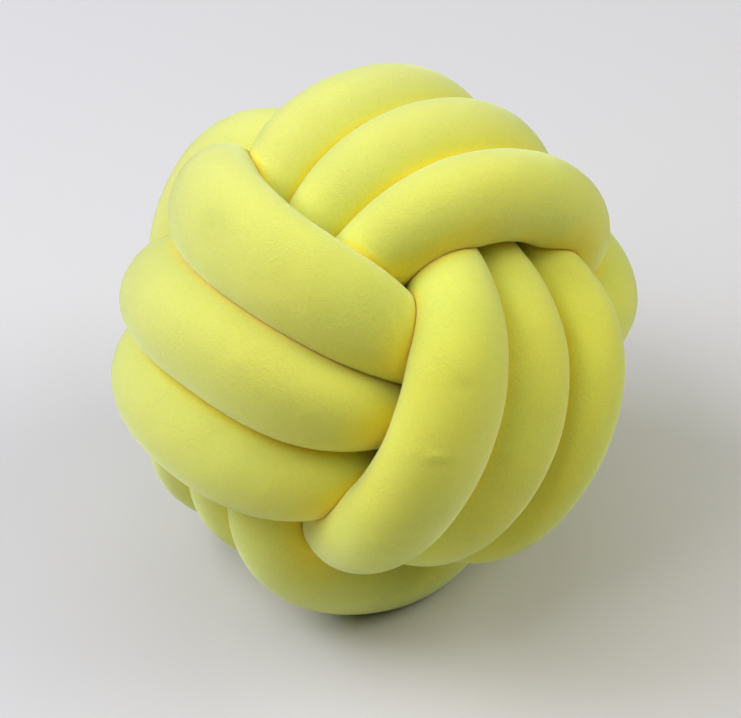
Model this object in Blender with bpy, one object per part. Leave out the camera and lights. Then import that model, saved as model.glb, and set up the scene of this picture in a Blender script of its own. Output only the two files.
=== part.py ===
"""Knot cushion: one long stuffed tube of plush, wound three times round in each of three
directions, so that three bands of three turns pass over and under each other as a ball.

Metres, +Z up. The origin is the middle of the underside of the ball's box. The ball lies on
a small flat spot, and the corner where its three front bands meet looks up and towards -Y.
"""

import math
from collections import namedtuple

import bmesh
import bpy
import numpy as np
from mathutils import Euler

MM = 0.001

# The winding, in millimetres. Radii run from the ball's centre to the middle of the tube.
CROWN_RADIUS_MIDDLE = 114.0   # middle turn of a band, where it lies over another band
CROWN_RADIUS_OUTER = 106.5    # the two outer turns of a band, at the same place
DIVE_RADIUS = 69.5            # all three, where they pass under another band
CROWN_PITCH = 44.5            # between neighbouring turns of a band, on top
DIVE_PITCH = 24.5             # and underneath, where the crossing band squeezes them
STEEPNESS = 1.3               # how suddenly a turn leaves its crown: 0 is a plain wave

# The tube's section, in millimetres. The half widths hold on the outside of a band.
CROWN_HALF_WIDTH = 23.5
CROWN_HALF_THICKNESS = 21.5
DIVE_HALF_WIDTH = 15.0
DIVE_HALF_THICKNESS = 22.0
PRESSED_TOGETHER = 1.5        # how far a turn's side reaches past the middle to the next

CORE_RADIUS = 97.0            # the middle of the ball, filled behind the gaps between turns
BED_DEPTH = 0.7               # a band's filling starts at this share of its turns' radius
FLAT_DEPTH = 6.5              # how far the ball's own weight presses its underside flat
FLOOR_WIDTH = 400.0           # the block that cuts the flat spot is wider than the ball
KNOT_TIPPED = -26.1           # how the knot lies: turned first about Y, in degrees,
KNOT_FACING = -144.8          # and then about Z

# Facets: along a turn, around the tube, and how finely the core is divided.
TURN_SECTIONS = 64
TUBE_SIDES = 18
CORE_SUBDIVISIONS = 3
SHARP_ANGLE = 35.0            # creases between turns are sharper than this, in degrees
SLIVER_LENGTH = 0.02          # corners closer than this, in millimetres, are joined up

PLUSH_COLOUR = (0.71, 0.74, 0.16, 1.0)
PLUSH_ROUGHNESS = 0.85
PLUSH_SHEEN = 0.4

X_AXIS, Y_AXIS, Z_AXIS = np.eye(3)
Band = namedtuple("Band", "over under row_axis")
BANDS = {
    "top": Band(over=Z_AXIS, under=X_AXIS, row_axis=Y_AXIS),
    "left": Band(over=X_AXIS, under=Y_AXIS, row_axis=Z_AXIS),
    "right": Band(over=Y_AXIS, under=Z_AXIS, row_axis=X_AXIS),
}

# How each crown differs from the regular winding, in millimetres and degrees:
# rise    further from the ball's centre         shift   sideways, along the band's row axis
# lean    sideways, opposite at its two ends     bow     sideways, at its middle only
# swing   along the turn, an angle               wide    added to its outer half width
Crown = namedtuple("Crown", "rise shift lean bow swing wide", defaults=(0,) * 6)
Turn = namedtuple("Turn", "band row front back")
TURNS = (
    Turn("top", -1, Crown(-5, 0.5, 4.5, 3, 8, 0.5), Crown(6, 13, 4.5)),
    Turn("top", 0, Crown(-8, -1.5, 4, 1, 0, 0), Crown(-3.5, 6, 5)),
    Turn("top", 1, Crown(-2, 1.5, 1, 1, -1.5, -2.5), Crown(4, 2.5, 3.5)),
    Turn("left", -1, Crown(-1.5, -4, 0.5, 2, 5.5, 0.5), Crown()),
    Turn("left", 0, Crown(1.5, -4.5, 8, 8, 4.5, 0), Crown()),
    Turn("left", 1, Crown(0, 3.5, -0.5, -2, 2, 7.5), Crown(-2.5, 5, 0)),
    Turn("right", -1, Crown(2.5, 11, -7.5, 1.5, -1, -4), Crown()),
    Turn("right", 0, Crown(-7, 3, -3.5, -4.5, -4, 0), Crown()),
    Turn("right", 1, Crown(4, 6, -3, 3.5, -1.5, 1), Crown(-1.5, -6, -4.5)),
)


def clear_scene():
    for thing in list(bpy.data.objects):
        bpy.data.objects.remove(thing, do_unlink=True)


def plush():
    material = bpy.data.materials.new("plush")
    material.use_nodes = True
    shader = material.node_tree.nodes["Principled BSDF"]
    shader.inputs["Base Color"].default_value = PLUSH_COLOUR
    shader.inputs["Roughness"].default_value = PLUSH_ROUGHNESS
    shader.inputs["Metallic"].default_value = 0.0
    shader.inputs["Sheen Weight"].default_value = PLUSH_SHEEN
    return material


def unit(vectors):
    return vectors / np.linalg.norm(vectors, axis=-1, keepdims=True)


def turn_course(turn):
    """One turn's path, its half width and its half thickness at each of its sections.

    The angle runs once round the ball: 0 and 180 degrees are the turn's crowns, 90 and 270
    its dives. The crown's weight is 1 at a crown and 0 at a dive, half plus half the tanh of
    the cosine of twice the angle. It blends the radius, the place in the band and the
    section. The lean adds a sine of twice the angle, and the bow a squared cosine.
    """
    band = BANDS[turn.band]
    crown_radius = CROWN_RADIUS_OUTER if turn.row else CROWN_RADIUS_MIDDLE

    angle = np.linspace(0, 2 * math.pi, TURN_SECTIONS, endpoint=False)
    in_front = np.cos(angle) >= 0
    change = {
        name: np.where(in_front, getattr(turn.front, name), getattr(turn.back, name))
        for name in Crown._fields
    }
    twice = 2 * (angle - np.radians(change["swing"]) * np.abs(np.cos(angle)))
    weight = 0.5 + 0.5 * np.tanh(STEEPNESS * np.cos(twice)) / math.tanh(STEEPNESS)

    radius = DIVE_RADIUS + (crown_radius + change["rise"] - DIVE_RADIUS) * weight
    dive_place = turn.row * DIVE_PITCH
    place = dive_place + (turn.row * CROWN_PITCH + change["shift"] - dive_place) * weight
    place = place + change["lean"] * np.sin(twice) * np.abs(np.cos(angle))
    place = place + change["bow"] * np.maximum(np.cos(twice), 0) ** 2
    wide = CROWN_HALF_WIDTH + change["wide"]
    half_width = DIVE_HALF_WIDTH + (wide - DIVE_HALF_WIDTH) * weight
    half_thickness = DIVE_HALF_THICKNESS + (CROWN_HALF_THICKNESS - DIVE_HALF_THICKNESS) * weight

    spoke = np.outer(np.cos(angle), band.over) + np.outer(np.sin(angle), band.under)
    path = radius[:, None] * spoke + np.outer(place, band.row_axis)
    return path, half_width, half_thickness


def reach_to(path, neighbour, half_width):
    """Half width on one side: a little past the middle between two paths, where the tubes
    press together, or the tube's own half width on the outside of a band."""
    if neighbour is None:
        return half_width
    return np.linalg.norm(neighbour - path, axis=1) / 2 + PRESSED_TOGETHER


def tube_points(row_axis, course, lower_path, upper_path):
    """Points of one turn, sections by sides by 3, in metres in the knot's own frame.

    Each section is two half ellipses, upright on the ball and square to the path.
    """
    path, half_width, half_thickness = course
    along = unit(np.roll(path, -1, axis=0) - np.roll(path, 1, axis=0))
    sideways = unit(row_axis - (along @ row_axis)[:, None] * along)
    upright = np.cross(along, sideways)
    upright *= np.sign(np.sum(upright * path, axis=1))[:, None]

    side = np.linspace(0, 2 * math.pi, TUBE_SIDES, endpoint=False)
    upper = reach_to(path, upper_path, half_width)
    lower = reach_to(path, lower_path, half_width)
    across = np.where(np.cos(side) > 0, upper[:, None], lower[:, None]) * np.cos(side)
    out = half_thickness[:, None] * np.sin(side)
    offset = across[..., None] * sideways[:, None] + out[..., None] * upright[:, None]
    return (path[:, None] + offset) * MM


def bed_points(paths):
    """The filling behind a band's creases: a ribbon through the middles of its three tubes,
    which reaches inwards to the core."""
    outer = np.stack(paths, axis=1)
    inner = outer[:, ::-1] * BED_DEPTH
    return np.concatenate([outer, inner], axis=1) * MM


def band_pieces(band_name):
    """The points of one band's three tubes, by their rows, and of its bed, by name."""
    turns = sorted((turn for turn in TURNS if turn.band == band_name), key=lambda turn: turn.row)
    courses = [turn_course(turn) for turn in turns]
    paths = [course[0] for course in courses]
    neighbours = [None] + paths + [None]
    row_axis = BANDS[band_name].row_axis
    pieces = {
        f"turn_{band_name}_{index}": tube_points(
            row_axis, course, neighbours[index - 1], neighbours[index + 1]
        )
        for index, course in enumerate(courses, start=1)
    }
    pieces[f"bed_{band_name}"] = bed_points(paths)
    return pieces


def laid(points):
    """The same points after the knot is turned to the way that it lies."""
    turned = Euler((0, math.radians(KNOT_TIPPED), math.radians(KNOT_FACING)), "XYZ")
    return points @ np.array(turned.to_matrix()).T


def new_object(name, mesh, material):
    for face in mesh.polygons:
        face.use_smooth = True
    mesh.materials.append(material)
    thing = bpy.data.objects.new(name, mesh)
    bpy.context.scene.collection.objects.link(thing)
    return thing


def closed_ring(name, points, material):
    """A ring of sections as one closed mesh, its faces turned outwards."""
    sections, sides = points.shape[:2]
    number = np.arange(sections * sides).reshape(sections, sides)
    ahead = np.roll(number, -1, axis=0)
    faces = np.stack(
        [number, ahead, np.roll(ahead, -1, axis=1), np.roll(number, -1, axis=1)], axis=-1
    )
    mesh = bpy.data.meshes.new(name)
    mesh.from_pydata(points.reshape(-1, 3).tolist(), [], faces.reshape(-1, 4).tolist())
    shape = bmesh.new()
    shape.from_mesh(mesh)
    bmesh.ops.recalc_face_normals(shape, faces=shape.faces)
    shape.to_mesh(mesh)
    shape.free()
    return new_object(name, mesh, material)


def core(material, centre):
    """The filled middle of the ball."""
    mesh = bpy.data.meshes.new("knot_ball")
    shape = bmesh.new()
    bmesh.ops.create_icosphere(shape, subdivisions=CORE_SUBDIVISIONS, radius=CORE_RADIUS * MM)
    bmesh.ops.translate(shape, verts=shape.verts, vec=centre)
    shape.to_mesh(mesh)
    shape.free()
    return new_object("knot_ball", mesh, material)


def floor_cutter(material):
    """A block whose top is the surface that the ball lies on."""
    width = FLOOR_WIDTH * MM
    mesh = bpy.data.meshes.new("floor_cutter")
    shape = bmesh.new()
    bmesh.ops.create_cube(shape, size=width)
    bmesh.ops.translate(shape, verts=shape.verts, vec=(0, 0, -width / 2))
    shape.to_mesh(mesh)
    shape.free()
    return new_object("floor_cutter", mesh, material)


def as_guide(thing):
    thing.hide_render = True
    thing.display_type = "WIRE"


def boolean(thing, name, operation):
    modifier = thing.modifiers.new(name, "BOOLEAN")
    modifier.operation = operation
    modifier.solver = "EXACT"
    return modifier


def outer_skin(shape):
    """The faces of the piece of the mesh that reaches highest, which is its outside."""
    top = max(shape.verts, key=lambda corner: corner.co.z)
    skin = set(top.link_faces)
    edge_of_skin = list(skin)
    while edge_of_skin:
        face = edge_of_skin.pop()
        for edge in face.edges:
            for neighbour in edge.link_faces:
                if neighbour not in skin:
                    skin.add(neighbour)
                    edge_of_skin.append(neighbour)
    return skin


def finish(thing):
    """Keeps the joined mesh's outside. The filling closes the hollows left deep between the
    turns, and shading stays sharp only in the creases where two turns meet."""
    depsgraph = bpy.context.evaluated_depsgraph_get()
    joined = bpy.data.meshes.new_from_object(thing.evaluated_get(depsgraph))
    thing.modifiers.clear()
    thing.data = joined
    joined.name = thing.name

    shape = bmesh.new()
    shape.from_mesh(joined)
    skin = outer_skin(shape)
    hollows = [face for face in shape.faces if face not in skin]
    bmesh.ops.delete(shape, geom=hollows, context="FACES")
    bmesh.ops.remove_doubles(shape, verts=shape.verts, dist=SLIVER_LENGTH * MM)
    bmesh.ops.triangulate(shape, faces=shape.faces, ngon_method="BEAUTY")
    bmesh.ops.dissolve_degenerate(shape, dist=SLIVER_LENGTH * MM, edges=shape.edges)
    shape.to_mesh(joined)
    shape.free()
    joined.set_sharp_from_angle(angle=math.radians(SHARP_ANGLE))


def build():
    clear_scene()
    material = plush()

    pieces = {
        name: laid(points)
        for band_name in BANDS
        for name, points in band_pieces(band_name).items()
    }
    cloud = np.concatenate([points.reshape(-1, 3) for points in pieces.values()])
    lowest = cloud.min(axis=0)
    highest = cloud.max(axis=0)
    foot = (lowest + highest) / 2
    foot[2] = lowest[2] + FLAT_DEPTH * MM

    ball = core(material, -foot)
    winding = bpy.data.collections.new("winding")
    bpy.context.scene.collection.children.link(winding)
    for name, points in pieces.items():
        guide = closed_ring(name, points - foot, material)
        as_guide(guide)
        winding.objects.link(guide)

    union = boolean(ball, "winding", "UNION")
    union.operand_type = "COLLECTION"
    union.collection = winding

    floor = floor_cutter(material)
    as_guide(floor)
    flat = boolean(ball, "flat spot", "DIFFERENCE")
    flat.object = floor

    finish(ball)


build()
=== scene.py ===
"""Looks of the knot cushion: one stuffed plush tube, wound three times round in each of three
directions, on a plain pale floor."""

import math
from collections import namedtuple

import bmesh
import bpy
import numpy as np
from mathutils import Euler, Matrix


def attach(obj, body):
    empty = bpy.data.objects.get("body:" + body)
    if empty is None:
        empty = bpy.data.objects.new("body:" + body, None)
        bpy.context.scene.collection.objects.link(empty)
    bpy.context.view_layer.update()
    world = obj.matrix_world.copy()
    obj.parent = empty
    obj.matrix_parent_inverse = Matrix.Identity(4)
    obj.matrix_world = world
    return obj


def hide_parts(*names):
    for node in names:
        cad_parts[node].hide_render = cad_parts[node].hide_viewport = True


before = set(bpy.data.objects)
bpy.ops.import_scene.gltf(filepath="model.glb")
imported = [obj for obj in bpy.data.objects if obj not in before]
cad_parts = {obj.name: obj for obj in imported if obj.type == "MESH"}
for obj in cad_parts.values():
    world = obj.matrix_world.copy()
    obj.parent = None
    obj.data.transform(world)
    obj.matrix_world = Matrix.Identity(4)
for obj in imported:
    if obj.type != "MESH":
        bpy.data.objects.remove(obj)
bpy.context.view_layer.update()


# ---- The winding -----------------------------------------------------------------------
# One tube of about 5 m, tied by hand: three turns over the top, three round the left and
# three round the right, each band over the one before and under the next, then drawn
# tight. No two turns lie alike. Lengths are in millimetres, angles in degrees.
MM = 0.001
KNOT_CENTRE = np.array((-0.92, 4.49, 124.06))
KNOT_TIPPED = -26.1      # the knot lies turned about Y,
KNOT_FACING = -144.8     # and then about Z

CROWN_RADIUS_MIDDLE = 114.0
CROWN_RADIUS_OUTER = 106.5
DIVE_RADIUS = 69.5
CROWN_PITCH = 44.5
DIVE_PITCH = 24.5
STEEPNESS = 1.3

SECTIONS = 576
SIDES = 72

X_AXIS, Y_AXIS, Z_AXIS = np.eye(3)
Band = namedtuple("Band", "over under row_axis")
BANDS = {
    "top": Band(over=Z_AXIS, under=X_AXIS, row_axis=Y_AXIS),
    "left": Band(over=X_AXIS, under=Y_AXIS, row_axis=Z_AXIS),
    "right": Band(over=Y_AXIS, under=Z_AXIS, row_axis=X_AXIS),
}

# How each crown differs from a regular winding: rise outwards, shift, lean (opposite at its
# ends) and bow (at its middle) sideways, swing along the turn, and its added half width.
Crown = namedtuple("Crown", "rise shift lean bow swing wide", defaults=(0,) * 6)
Turn = namedtuple("Turn", "band row front back")
TURNS = (
    Turn("top", -1, Crown(-5, 0.5, 4.5, 3, 8, 0.5), Crown(6, 13, 4.5)),
    Turn("top", 0, Crown(-8, -1.5, 4, 1, 0, 0), Crown(-3.5, 6, 5)),
    Turn("top", 1, Crown(-2, 1.5, 1, 1, -1.5, -2.5), Crown(4, 2.5, 3.5)),
    Turn("left", -1, Crown(-1.5, -4, 0.5, 2, 5.5, 0.5), Crown()),
    Turn("left", 0, Crown(1.5, -4.5, 8, 8, 4.5, 0), Crown()),
    Turn("left", 1, Crown(0, 3.5, -0.5, -2, 2, 7.5), Crown(-2.5, 5, 0)),
    Turn("right", -1, Crown(2.5, 11, -7.5, 1.5, -1, -4), Crown()),
    Turn("right", 0, Crown(-7, 3, -3.5, -4.5, -4, 0), Crown()),
    Turn("right", 1, Crown(4, 6, -3, 3.5, -1.5, 1), Crown(-1.5, -6, -4.5)),
)


def crown_weight(angle, swing):
    """1 on a crown and 0 in a dive: half plus half the tanh of the cosine of twice the
    angle, with the angle moved on by the swing where the turn is near a crown."""
    twice = 2 * (angle - np.radians(swing) * np.abs(np.cos(angle)))
    return twice, 0.5 + 0.5 * np.tanh(STEEPNESS * np.cos(twice)) / math.tanh(STEEPNESS)


def changes(turn, angle):
    """The table's crown values along a turn: the front crown's half, then the back one's."""
    in_front = np.cos(angle) >= 0
    return {
        name: np.where(in_front, getattr(turn.front, name), getattr(turn.back, name))
        for name in Crown._fields
    }


def turn_path(turn, angle):
    """The middle line of one turn. Its distance from the ball's centre and its place in the
    band are blends of a dive's and a crown's, by the crown's weight; the lean adds a sine
    of twice the angle and the bow a squared cosine of it."""
    band = BANDS[turn.band]
    change = changes(turn, angle)
    twice, weight = crown_weight(angle, change["swing"])
    crown_radius = CROWN_RADIUS_OUTER if turn.row else CROWN_RADIUS_MIDDLE
    radius = DIVE_RADIUS + (crown_radius + change["rise"] - DIVE_RADIUS) * weight
    dive_place = turn.row * DIVE_PITCH
    place = dive_place + (turn.row * CROWN_PITCH + change["shift"] - dive_place) * weight
    place = place + change["lean"] * np.sin(twice) * np.abs(np.cos(angle))
    place = place + change["bow"] * np.maximum(np.cos(twice), 0) ** 2
    spoke = np.outer(np.cos(angle), band.over) + np.outer(np.sin(angle), band.under)
    return radius[:, None] * spoke + np.outer(place, band.row_axis)


def laid(points):
    """The same points after the knot is turned to the way that it lies and set down."""
    turned = Euler((0, math.radians(KNOT_TIPPED), math.radians(KNOT_FACING)), "XYZ")
    return points @ np.array(turned.to_matrix()).T + KNOT_CENTRE


# ---- The filled tube -------------------------------------------------------------------
# Plush sewn to a tube and stuffed until it is round and firm, about 45 mm thick. Beside
# another turn it is pressed flat, and it leaves that flat in a soft, deep crease.
CROWN_HALF_WIDTH = 23.5
CROWN_HALF_THICKNESS = 21.5
DIVE_HALF_WIDTH = 15.0
DIVE_HALF_THICKNESS = 22.0
PRESSED_TOGETHER = 1.5   # how far a turn's side would reach past the middle to the next

# Lengths in the cross-section, as shares of the distance from middle line to round surface.
CREASE_SOFTNESS = 0.05   # how far from a contact the plush starts to round off
FLOOR_SOFTNESS = 0.10
LEAST_SHARE = 0.3        # the filling is never pressed to less than this
MOST_SHARE = 1.6
CREASE_SHADE_REACH = 0.25      # how far from a contact the painted shade in creases goes
POCKET_SHADE_REACH = 1.1       # how far from it the painted shade goes on the shaded side, in pockets and at crossings
CREASE_SHADE_STRENGTH = 0.9    # how strong the painted shade in creases is at a contact

# Painted shade falls on cloth that faces this way: down, forwards and to the right. Below the
# height of the low turns the floor throws light back under the ball, and the painted shade at
# crossings fades out there.
SHADED_SIDE = np.array((0.6, -0.3, -0.7))
LOW_TURNS = 90.0

# How finely contacts are searched for: every so many sections at first, then by steps.
COARSE = 8
NEAREST_STEPS = 4
LONGEST_STEP = 6
STEP_DAMPING = 0.8
NEARBY = 60.0
PRESSING_ROUNDS = 8
FIRST_SHARE = 0.9

# The filling is a little uneven: each row swells the tube by so much of its thickness, so
# many times along a turn and around it. Phases differ from turn to turn.
Swelling = namedtuple("Swelling", "share along around")
SWELLINGS = (
    Swelling(0.007, 5, 1),
    Swelling(0.006, 9, 2),
    Swelling(0.004, 16, 1),
    Swelling(0.003, 23, 3),
)
ROW_PHASE = 2.4
BAND_PHASE = 1.7

# Marks that handling left in the plush, as soft ridges or, below 0, as soft troughs; their
# ridges are also painted lighter and their troughs darker, as painted highlight and shade.
# Places are in millimetres in the part's frame; length runs towards the given direction.
Mark = namedtuple("Mark", "tube place towards length width height")
MARKS = (
    Mark("turn_right_3", (27, -131, 166), (1, 0, 0), 6, 1.6, 0.8),
    Mark("turn_right_3", (27, -133, 162), (1, 0, 0), 7, 1.8, -0.45),
    Mark("turn_right_3", (39, -112, 192), (1, 0, -0.3), 7, 4, -0.5),
    Mark("turn_right_3", (0, -138, 119), (1, 0, 0.2), 6, 2, 0.4),
    Mark("turn_right_3", (17, -138, 124), (1, 0, 0.2), 5, 1.5, 0.3),
    Mark("turn_left_3", (7, -88, 197), (0, -0.25, -1), 18, 2.5, 0.6),
    Mark("turn_left_3", (-77, -45, 229), (1, -0.5, -0.5), 13, 8, -1.0),
    Mark("turn_left_2", (-63, -102, 166), (1, 0, 0.3), 4, 1.5, 0.3),
    Mark("turn_left_2", (-33, -110, 174), (1, 0, 0.3), 5, 1.6, 0.35),
    Mark("turn_left_1", (-52, -114, 129), (1, 0, 0.6), 3, 2, 0.4),
    Mark("turn_top_3", (55, -38, 231), (1, 0, 0), 12, 1.8, 0.25),
)

Tube = namedtuple("Tube", "name turn path along sideways upright lower upper thick")


def unit(vectors):
    """The same directions, each divided by its length."""
    return vectors / np.linalg.norm(vectors, axis=-1, keepdims=True)


def filled_tube(turn, below, above):
    """One turn as a path with a section at each point. A section is two half ellipses, of
    half widths lower and upper across the band and half thickness thick out of the ball."""
    angle = np.linspace(0, 2 * math.pi, SECTIONS, endpoint=False)
    change = changes(turn, angle)
    weight = crown_weight(angle, change["swing"])[1]
    own_path = turn_path(turn, angle)
    row_axis = BANDS[turn.band].row_axis
    along = unit(np.roll(own_path, -1, axis=0) - np.roll(own_path, 1, axis=0))
    sideways = unit(row_axis - (along @ row_axis)[:, None] * along)
    upright = np.cross(along, sideways)
    upright *= np.sign(np.sum(upright * own_path, axis=1))[:, None]

    free = DIVE_HALF_WIDTH + (CROWN_HALF_WIDTH + change["wide"] - DIVE_HALF_WIDTH) * weight
    thick = DIVE_HALF_THICKNESS + (CROWN_HALF_THICKNESS - DIVE_HALF_THICKNESS) * weight
    reach = [
        free if neighbour is None
        else np.linalg.norm(turn_path(neighbour, angle) - own_path, axis=1) / 2
        + PRESSED_TOGETHER
        for neighbour in (below, above)
    ]
    return Tube(
        name=f"turn_{turn.band}_{turn.row + 2}",
        turn=turn,
        path=laid(own_path),
        along=laid(along) - KNOT_CENTRE,
        sideways=laid(sideways) - KNOT_CENTRE,
        upright=laid(upright) - KNOT_CENTRE,
        lower=reach[0],
        upper=reach[1],
        thick=thick,
    )


def natural_offset(tube):
    """From the middle line to the round surface, sections by sides by 3: the half width
    times the cosine sideways, and the half thickness times the sine upright."""
    side = np.linspace(0, 2 * math.pi, SIDES, endpoint=False)
    half_width = np.where(np.cos(side) > 0, tube.upper[:, None], tube.lower[:, None])
    across = half_width * np.cos(side)
    out = tube.thick[:, None] * np.sin(side)
    return across[..., None] * tube.sideways[:, None] + out[..., None] * tube.upright[:, None]


def depth_in(points, tube):
    """How deep each point lies in a tube: 0 on its middle line, 1 on its round surface.
    The nearest section is found among a few of them, and then by steps along the path."""
    coarse = tube.path[::COARSE]
    apart = (coarse ** 2).sum(1)[:, None] - 2 * coarse @ points.T
    nearest = apart.argmin(axis=0) * COARSE
    spacing = np.linalg.norm(np.roll(tube.path, -1, axis=0) - tube.path, axis=1)
    for _ in range(NEAREST_STEPS):
        ahead = np.sum((points - tube.path[nearest]) * tube.along[nearest], axis=1)
        step = np.round(STEP_DAMPING * ahead / spacing[nearest])
        step = np.clip(step, -LONGEST_STEP, LONGEST_STEP).astype(int)
        nearest = (nearest + step) % len(tube.path)
    away = points - tube.path[nearest]
    across = np.sum(away * tube.sideways[nearest], axis=1)
    out = np.sum(away * tube.upright[nearest], axis=1)
    half_width = np.where(across > 0, tube.upper[nearest], tube.lower[nearest])
    return np.hypot(across / half_width, out / tube.thick[nearest])


def soft_least(first, second, softness):
    """The smaller of two values, rounded off where they are closer than the softness."""
    near = np.maximum(softness - np.abs(first - second), 0) / softness
    return np.minimum(first, second) - near ** 2 * softness / 4


def pressed_share(tube, others):
    """The share of the natural offset at which each surface point meets another tube: where
    it lies as deep in the other one as in its own. Found by stepping halfway towards it."""
    offset = natural_offset(tube).reshape(-1, 3)
    start = np.repeat(tube.path, SIDES, axis=0)
    coarse = tube.path[::COARSE, None]
    nearby = [
        other for other in others
        if np.linalg.norm(coarse - other.path[None, ::COARSE], axis=2).min() < NEARBY
    ]
    share = np.full(len(offset), FIRST_SHARE)
    for _ in range(PRESSING_ROUNDS):
        points = start + share[:, None] * offset
        met = np.min([depth_in(points, other) for other in nearby], axis=0)
        share = np.clip((share + np.minimum(met, 2.0)) / 2, LEAST_SHARE, MOST_SHARE)
    return share.reshape(SECTIONS, SIDES)


def smoothed(grid, rounds):
    """Each value averaged with its neighbours, both ways round the tube."""
    for _ in range(rounds):
        for axis in (0, 1):
            grid = (np.roll(grid, 1, axis) + 2 * grid + np.roll(grid, -1, axis)) / 4
    return grid


def uneven_share(tube, offset):
    """The share of the natural offset that the uneven filling and the marks reach, and the
    marks' heights, by which their ridges are painted lighter and their troughs darker. The
    share is 1, plus each swelling's sine along the turn times its cosine around it, plus each
    mark's height times a bell curve of the distance from it, over the offset's length."""
    angle = np.linspace(0, 2 * math.pi, SECTIONS, endpoint=False)[:, None]
    side = np.linspace(0, 2 * math.pi, SIDES, endpoint=False)
    phase = ROW_PHASE * tube.turn.row + BAND_PHASE * list(BANDS).index(tube.turn.band)
    share = np.ones((SECTIONS, SIDES))
    relief_light_and_shade = np.zeros((SECTIONS, SIDES))
    for number, swelling in enumerate(SWELLINGS):
        along = np.sin(swelling.along * angle + (number + 1) * phase)
        share += swelling.share * along * np.cos(swelling.around * side + number)
    points = tube.path[:, None] + offset
    for mark in MARKS:
        if mark.tube == tube.name:
            away = points - np.array(mark.place)
            ahead = away @ unit(np.array(mark.towards, dtype=float))
            across = np.sum(away ** 2, axis=2) - ahead ** 2
            bell = np.exp(-((ahead / mark.length) ** 2) - across / mark.width ** 2)
            share += mark.height * bell / np.linalg.norm(offset, axis=2)
            relief_light_and_shade += mark.height * bell
    return share, relief_light_and_shade


def nearness(points, tube, others, reach):
    """1 where a surface point touches one of the other tubes, falling to 0 where it lies
    shallower in all of them than in its own by the reach."""
    corners = points.reshape(-1, 3)
    own = depth_in(corners, tube)
    met = np.min([depth_in(corners, other) for other in others], axis=0)
    return np.clip(1 - (met - own) / reach, 0, 1).reshape(points.shape[:2])


def tube_surface(tube, others):
    """The pressed tube's points, and by name the painted shade each one gets in creases and
    in pockets beside other turns, and the marks' heights, painted as light and shade. The
    natural offset is shortened to the soft least of the uneven filling's share, the contact's
    share and the floor's. The painted shade in creases is the squared nearness to a turn, or,
    on the shaded side of a crossing and above the low turns, the nearness from further off to
    the power of 1.5.
    The painted shade in pockets is the nearness to any turn times how far the cloth faces the
    shaded side."""
    met = smoothed(pressed_share(tube, others), 2)
    offset = natural_offset(tube)
    down = np.minimum(offset[..., 2], -0.01)
    floor_share = np.where(offset[..., 2] < 0, -tube.path[:, None, 2] / down, 9.0)
    share, relief_light_and_shade = uneven_share(tube, offset)
    share = soft_least(share, met, CREASE_SOFTNESS)
    share = soft_least(share, floor_share, FLOOR_SOFTNESS)
    points = tube.path[:, None] + share[..., None] * offset
    shaded = np.clip(0.2 + 1.3 * unit(offset) @ SHADED_SIDE, 0, 1)
    fully_shaded = np.clip(2 * shaded - 0.5, 0, 1)
    above_low = np.clip(points[..., 2] / LOW_TURNS, 0, 1) ** 2
    band = [other for other in others if other.turn.band == tube.turn.band]
    crossing = [other for other in others if other.turn.band != tube.turn.band]
    # Painted shade in creases and pockets, and the marks' painted light and shade, by name.
    return points, {
        "crease_shade": CREASE_SHADE_STRENGTH * np.maximum.reduce([
            nearness(points, tube, band, CREASE_SHADE_REACH) ** 2,
            nearness(points, tube, crossing, CREASE_SHADE_REACH) ** 2,
            nearness(points, tube, crossing, POCKET_SHADE_REACH) ** 1.5 * fully_shaded * above_low,
        ]),
        "pocket_shade": nearness(points, tube, others, POCKET_SHADE_REACH) * shaded,
        "relief_light_and_shade": relief_light_and_shade,
    }


def ring_mesh(name, points, values):
    """A closed ring of sections as one mesh, its faces turned outwards, with one number
    at each point for each named value."""
    sections, sides = points.shape[:2]
    number = np.arange(sections * sides).reshape(sections, sides)
    ahead = np.roll(number, -1, axis=0)
    faces = np.stack(
        [number, ahead, np.roll(ahead, -1, axis=1), np.roll(number, -1, axis=1)], axis=-1
    ).reshape(-1, 4)
    corners = points.reshape(-1, 3)
    spread = np.einsum(
        "ij,ij->i", corners[faces[:, 0]],
        np.cross(corners[faces[:, 1]], corners[faces[:, 2]]),
    ).sum()
    if spread < 0:
        faces = faces[:, ::-1]
    mesh = bpy.data.meshes.new(name)
    mesh.vertices.add(len(corners))
    mesh.vertices.foreach_set("co", (corners * MM).astype(np.float32).ravel())
    mesh.loops.add(faces.size)
    mesh.loops.foreach_set("vertex_index", faces.astype(np.int32).ravel())
    mesh.polygons.add(len(faces))
    mesh.polygons.foreach_set("loop_start", np.arange(0, faces.size, 4, dtype=np.int32))
    mesh.polygons.foreach_set("use_smooth", np.ones(len(faces), dtype=bool))
    mesh.update(calc_edges=True)
    for value_name, value in values.items():
        attribute = mesh.attributes.new(value_name, "FLOAT", "POINT")
        attribute.data.foreach_set("value", value.astype(np.float32).ravel())
    return mesh


def beside(turn, step):
    """The turn of the same band that lies one row further, or None at the band's edge."""
    found = [t for t in TURNS if t.band == turn.band and t.row == turn.row + step]
    return found[0] if found else None


# ---- Plush cloth -----------------------------------------------------------------------
# Short, dense polyester pile in lemon yellow, about 1 mm long. It is pale where the light
# grazes it and lets some light through. Where hands have stroked it the pile lies another
# way, in faint patches and short strokes.
PLUSH_YELLOW = (0.755, 0.74, 0.09, 1.0)
PLUSH_GREENER = (0.71, 0.75, 0.105, 1.0)   # in patches
PLUSH_LIT_PALE = (0.735, 0.75, 0.205, 1.0)     # painted light: paler towards the cool lights on the left and at the back
PLUSH_FLOOR_BOUNCE = (0.69, 0.745, 0.15, 1.0)       # painted light thrown back from the floor, near the floor
PLUSH_POCKET_SHADE = (0.80, 0.72, 0.03, 1.0)     # painted shade in the pockets between turns, on their shaded side
PLUSH_CREASE_SHADE = (0.98, 0.76, 0.02, 1.0)       # painted shade in the creases
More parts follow.
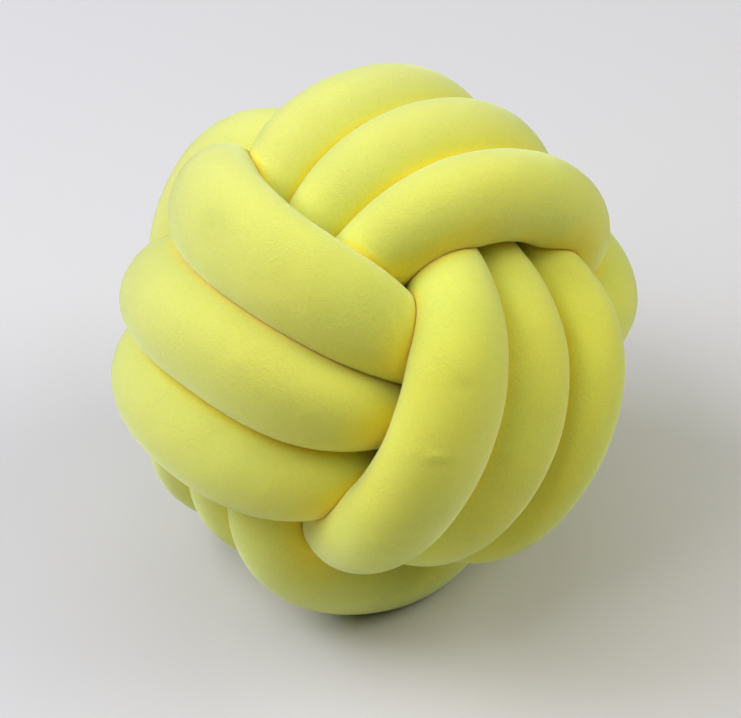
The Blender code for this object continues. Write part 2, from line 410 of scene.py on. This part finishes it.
# Painted light: the colour turns paler along this direction, towards the left and the back.
COOL_LIGHTS_DIRECTION = (-2.3, 2.7, 0.0)
UPWARDS = (0.0, 0.0, 1.0)
PATCHES_PER_METRE = 16.0
HANDLED_PER_METRE = 40.0
STROKES_PER_METRE = 240.0
PILE_PER_METRE = 800.0
STROKE_HEIGHT = 0.0012   # in metres, as is the pile's
PILE_HEIGHT = 0.0006

plush = bpy.data.materials.new("plush_lemon")
plush.use_nodes = True
nodes = plush.node_tree.nodes
links = plush.node_tree.links
shader = nodes["Principled BSDF"]
shader.inputs["Roughness"].default_value = 0.9
shader.inputs["Specular IOR Level"].default_value = 0.1
shader.inputs["Subsurface Weight"].default_value = 0.2
shader.inputs["Subsurface Radius"].default_value = (1.0, 0.75, 0.12)
shader.inputs["Subsurface Scale"].default_value = 0.006
shader.inputs["Sheen Weight"].default_value = 0.8
shader.inputs["Sheen Roughness"].default_value = 0.5
shader.inputs["Sheen Tint"].default_value = (0.88, 1.0, 0.62, 1.0)

place = nodes.new("ShaderNodeTexCoord")


def noise(scale, detail, roughness, distortion=0.0):
    """A noise of so many features a metre, spread evenly through the cloth."""
    texture = nodes.new("ShaderNodeTexNoise")
    texture.inputs["Scale"].default_value = scale
    texture.inputs["Detail"].default_value = detail
    texture.inputs["Roughness"].default_value = roughness
    texture.inputs["Distortion"].default_value = distortion
    links.new(place.outputs["Object"], texture.inputs["Vector"])
    return texture.outputs["Fac"]


def ranged(value, low, high, to_low, to_high):
    """The value's stretch from low to high, spread evenly from to_low to to_high."""
    spread = nodes.new("ShaderNodeMapRange")
    links.new(value, spread.inputs["Value"])
    spread.inputs["From Min"].default_value = low
    spread.inputs["From Max"].default_value = high
    spread.inputs["To Min"].default_value = to_low
    spread.inputs["To Max"].default_value = to_high
    return spread.outputs["Result"]


def product(first, second):
    """The first value times the second."""
    times = nodes.new("ShaderNodeMath")
    times.operation = "MULTIPLY"
    links.new(first, times.inputs[0])
    links.new(second, times.inputs[1])
    return times.outputs["Value"]


def blend(factor, first, second):
    """A mix of two colours, each a socket or a plain colour."""
    mix = nodes.new("ShaderNodeMix")
    mix.data_type = "RGBA"
    for socket, colour in (("A", first), ("B", second)):
        if isinstance(colour, tuple):
            mix.inputs[socket].default_value = colour
        else:
            links.new(colour, mix.inputs[socket])
    links.new(factor, mix.inputs["Factor"])
    return mix.outputs["Result"]


def surface_value(name):
    """The number of that name at each point of the mesh."""
    value = nodes.new("ShaderNodeAttribute")
    value.attribute_name = name
    return value.outputs["Fac"]


def measured(direction):
    """How far a point lies from the origin in a direction, times the direction's length."""
    measure = nodes.new("ShaderNodeVectorMath")
    measure.operation = "DOT_PRODUCT"
    measure.inputs[1].default_value = direction
    links.new(place.outputs["Object"], measure.inputs[0])
    return measure.outputs["Value"]


patches = noise(PATCHES_PER_METRE, detail=2.0, roughness=0.5)
handled = noise(HANDLED_PER_METRE, detail=1.0, roughness=0.5)
strokes = noise(STROKES_PER_METRE, detail=3.0, roughness=0.6, distortion=2.5)
pile = noise(PILE_PER_METRE, detail=2.0, roughness=0.6)

cloth = blend(ranged(patches, 0.35, 0.65, 0, 1), PLUSH_YELLOW, PLUSH_GREENER)
# Painted light: paler towards the cool lights on the left and at the back.
cloth = blend(ranged(measured(COOL_LIGHTS_DIRECTION), -0.35, 0.25, 0, 0.8), cloth, PLUSH_LIT_PALE)
# Painted light: greener low down, as if lit from the floor below.
cloth = blend(ranged(measured(UPWARDS), 0.03, 0.10, 0.9, 0), cloth, PLUSH_FLOOR_BOUNCE)
# Painted shade: golden in the pockets beside other turns, on their shaded side.
cloth = blend(surface_value("pocket_shade"), cloth, PLUSH_POCKET_SHADE)
# Painted shade: deeper and warmer in the creases and at crossings.
cloth = blend(surface_value("crease_shade"), cloth, PLUSH_CREASE_SHADE)
shade = product(
    ranged(strokes, 0.3, 0.7, 0.98, 1.02),
    ranged(pile, 0.25, 0.75, 0.97, 1.02),
)
# Painted highlight and shade: the marks' ridges lighter and their troughs darker.
shade = product(shade, ranged(surface_value("relief_light_and_shade"), -0.5, 0.5, 0.94, 1.06))
shaded = nodes.new("ShaderNodeVectorMath")
shaded.operation = "SCALE"
links.new(cloth, shaded.inputs[0])
links.new(shade, shaded.inputs["Scale"])
links.new(shaded.outputs["Vector"], shader.inputs["Base Color"])

pile_bump = nodes.new("ShaderNodeBump")
pile_bump.inputs["Strength"].default_value = 0.12
pile_bump.inputs["Distance"].default_value = PILE_HEIGHT
links.new(pile, pile_bump.inputs["Height"])
stroke_bump = nodes.new("ShaderNodeBump")
stroke_bump.inputs["Strength"].default_value = 0.45
stroke_bump.inputs["Distance"].default_value = STROKE_HEIGHT
stroked = product(strokes, ranged(handled, 0.38, 0.58, 0.1, 1.0))
links.new(stroked, stroke_bump.inputs["Height"])
links.new(pile_bump.outputs["Normal"], stroke_bump.inputs["Normal"])
links.new(stroke_bump.outputs["Normal"], shader.inputs["Normal"])

tubes = [filled_tube(turn, beside(turn, -1), beside(turn, 1)) for turn in TURNS]
for tube in tubes:
    surface, values = tube_surface(tube, [other for other in tubes if other is not tube])
    piece_mesh = ring_mesh(tube.name, surface, values)
    piece_mesh.materials.append(plush)
    piece = bpy.data.objects.new(tube.name, piece_mesh)
    bpy.context.scene.collection.objects.link(piece)
    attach(piece, "root")
    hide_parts("knot_ball")


# ---- The inner lengths of the tube -----------------------------------------------------
# Where three bands meet, the tube's inner lengths show through the gap between the turns.
# One plain ball of the same cloth stands for them, given a fixed share of the creases'
# painted shade.
INNER_RADIUS = 91.0
INNER_SUBDIVISIONS = 5
INNER_SHADE = 0.6

inner_shape = bmesh.new()
bmesh.ops.create_icosphere(
    inner_shape, subdivisions=INNER_SUBDIVISIONS, radius=INNER_RADIUS * MM,
    matrix=Matrix.Translation(KNOT_CENTRE * MM),
)
inner_mesh = bpy.data.meshes.new("inner_turns")
inner_shape.to_mesh(inner_mesh)
inner_shape.free()
inner_mesh.polygons.foreach_set("use_smooth", np.ones(len(inner_mesh.polygons), dtype=bool))
inner_shade_values = inner_mesh.attributes.new("crease_shade", "FLOAT", "POINT")
inner_shade_values.data.foreach_set(
    "value", np.full(len(inner_mesh.vertices), INNER_SHADE, dtype=np.float32)
)
inner_mesh.materials.append(plush)
inner = bpy.data.objects.new("inner_turns", inner_mesh)
bpy.context.scene.collection.objects.link(inner)
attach(inner, "root")
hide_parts("knot_ball")


# ---- Floor -----------------------------------------------------------------------------
# A plain, matt, pale grey surface.
FLOOR_GREY = (0.688, 0.672, 0.68, 1.0)
FLOOR_CORNERS = ((-8, -8, 0), (8, -8, 0), (8, 8, 0), (-8, 8, 0))

paper = bpy.data.materials.new("floor_paper")
paper.use_nodes = True
paper_shader = paper.node_tree.nodes["Principled BSDF"]
paper_shader.inputs["Base Color"].default_value = FLOOR_GREY
paper_shader.inputs["Roughness"].default_value = 0.95
paper_shader.inputs["Specular IOR Level"].default_value = 0.1
floor_mesh = bpy.data.meshes.new("floor")
floor_mesh.from_pydata(FLOOR_CORNERS, [], [(0, 1, 2, 3)])
floor_mesh.materials.append(paper)
floor = bpy.data.objects.new("floor", floor_mesh)
bpy.context.scene.collection.objects.link(floor)


# ---- Light and camera ------------------------------------------------------------------
# Soft boxes high on both sides, a third one high in front on the left, and three weak ones.
# The left ones are a little cooler than the right ones. Places and widths are in metres,
# powers in watts.
Softbox = namedtuple("Softbox", "name place width power colour")
SOFTBOXES = (
    Softbox("left", (-1.5, 0.2, 1.6), 1.3, 28.5, (0.93, 0.97, 1.12)),
    Softbox("right", (1.5, 0.2, 1.6), 1.3, 18.8, (1.02, 1.02, 0.9)),
    Softbox("front left", (-1.2, -0.8, 2.0), 1.3, 18.5, (1.02, 0.98, 0.97)),
    Softbox("front right", (1.2, -0.8, 2.0), 1.3, 4.5, (1.0, 1.0, 1.0)),
    Softbox("overhead", (0.0, 0.0, 2.2), 1.6, 8.2, (1.02, 1.02, 0.93)),
    Softbox("back", (0.0, 1.2, 2.0), 1.6, 3.0, (0.85, 0.95, 1.2)),
)
FILL_COLOUR = (0.97, 0.98, 1.0, 1.0)
FILL_STRENGTH = 0.01


def aimed(place, target):
    """A turn that points an object's -Z from its place to a target, its +Y upwards."""
    back = (place - target) / np.linalg.norm(place - target)
    return (math.acos(back[2]), 0, math.atan2(back[0], -back[1]))


for softbox in SOFTBOXES:
    lamp = bpy.data.lights.new(softbox.name, "AREA")
    lamp.shape = "SQUARE"
    lamp.size = softbox.width
    lamp.energy = softbox.power
    lamp.color = softbox.colour
    light = bpy.data.objects.new(softbox.name, lamp)
    light.location = softbox.place
    light.rotation_euler = aimed(np.array(softbox.place), KNOT_CENTRE * MM)
    bpy.context.scene.collection.objects.link(light)

world = bpy.data.worlds.new("studio")
world.use_nodes = True
fill = world.node_tree.nodes["Background"]
fill.inputs["Color"].default_value = FILL_COLOUR
fill.inputs["Strength"].default_value = FILL_STRENGTH
bpy.context.scene.world = world
bpy.context.scene.view_settings.view_transform = "Standard"

# The photograph's frame, in pixels, and where the knot's centre lies in it.
FRAME_WIDTH, FRAME_HEIGHT = 741, 718
CENTRE_PIXEL = (376.1, 331.3)
FOCAL_PIXELS = 3135.0
SENSOR_WIDTH = 36.0
CAMERA_DISTANCE = 1.5404   # in metres, from the knot's centre
CAMERA_ELEVATION = 40.5    # in degrees

view_camera = bpy.data.cameras.new("camera")
view_camera.sensor_width = SENSOR_WIDTH
view_camera.lens = FOCAL_PIXELS / FRAME_WIDTH * SENSOR_WIDTH
view_camera.clip_end = 50
camera = bpy.data.objects.new("camera", view_camera)
elevation = math.radians(CAMERA_ELEVATION)
camera.location = KNOT_CENTRE * MM + CAMERA_DISTANCE * np.array(
    (0, -math.cos(elevation), math.sin(elevation))
)
camera.rotation_euler = (
    math.pi / 2 - elevation - math.atan((FRAME_HEIGHT / 2 - CENTRE_PIXEL[1]) / FOCAL_PIXELS),
    0,
    math.atan((CENTRE_PIXEL[0] - FRAME_WIDTH / 2) / FOCAL_PIXELS) / math.cos(elevation),
)
bpy.context.scene.collection.objects.link(camera)
bpy.context.scene.camera = camera
